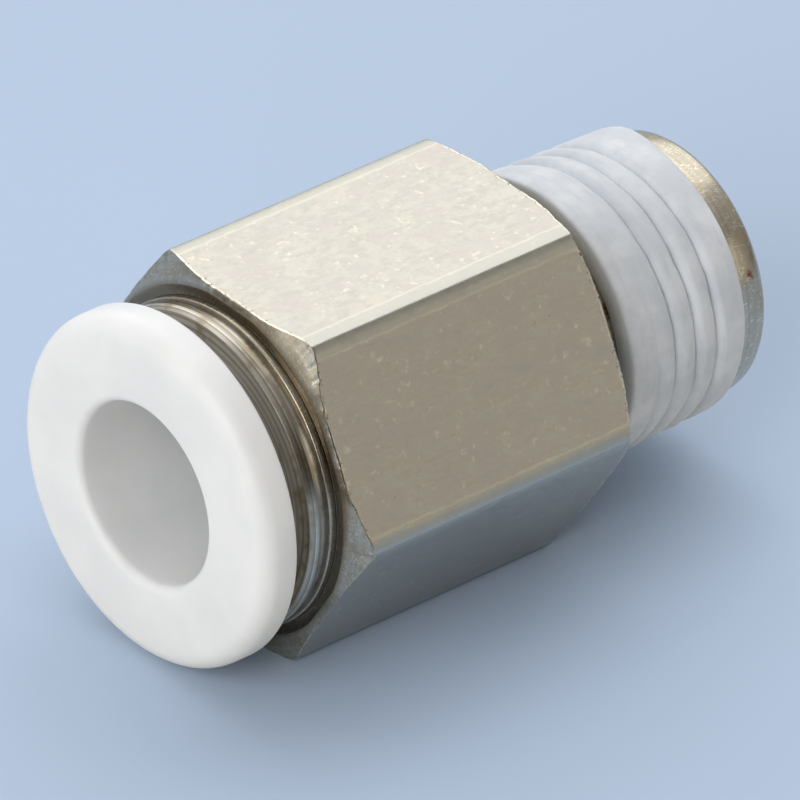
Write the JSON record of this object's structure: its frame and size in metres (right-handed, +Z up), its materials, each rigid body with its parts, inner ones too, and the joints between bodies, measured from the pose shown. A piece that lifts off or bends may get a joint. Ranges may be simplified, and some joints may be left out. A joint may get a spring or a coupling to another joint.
{
  "type": "half union fitting",
  "caption": "Straight push-in tube fitting with a white release button, a hexagon body and a sealant-coated male taper pipe thread.",
  "frame": {"origin": "on the fitting's axis in the thread's gauge plane, where the face of the female thread comes to lie", "axes": "+X along the axis and out of the threaded end, +Z up and square to a flat of the hexagon"},
  "size_m": [0.0224, 0.0138, 0.012],
  "materials": {
    "body_plate": "nickel plated, dull, with fine machining marks and small chips",
    "ring_plate": "nickel plated and turned",
    "sealant": "matte baked coat",
    "button_plastic": "satin moulding",
    "collet_plastic": "as moulded",
    "spring_steel": "pressed sheet",
    "seal_rubber": "moulded"
  },
  "bodies": {
    "fitting": {"hex_body": "body_plate", "thread_sealant": "sealant", "guide_ring": "ring_plate", "collet": "collet_plastic", "chuck": "spring_steel", "tube_seal": "seal_rubber"},
    "button": {"release_button": "button_plastic"}
  },
  "joints": [
    {"name": "button_press", "type": "slide", "parent": "fitting", "child": "button", "axis": [1, 0, 0], "range_m": [0, 0.00095], "stiffness_N_per_m": 3000}
  ]
}
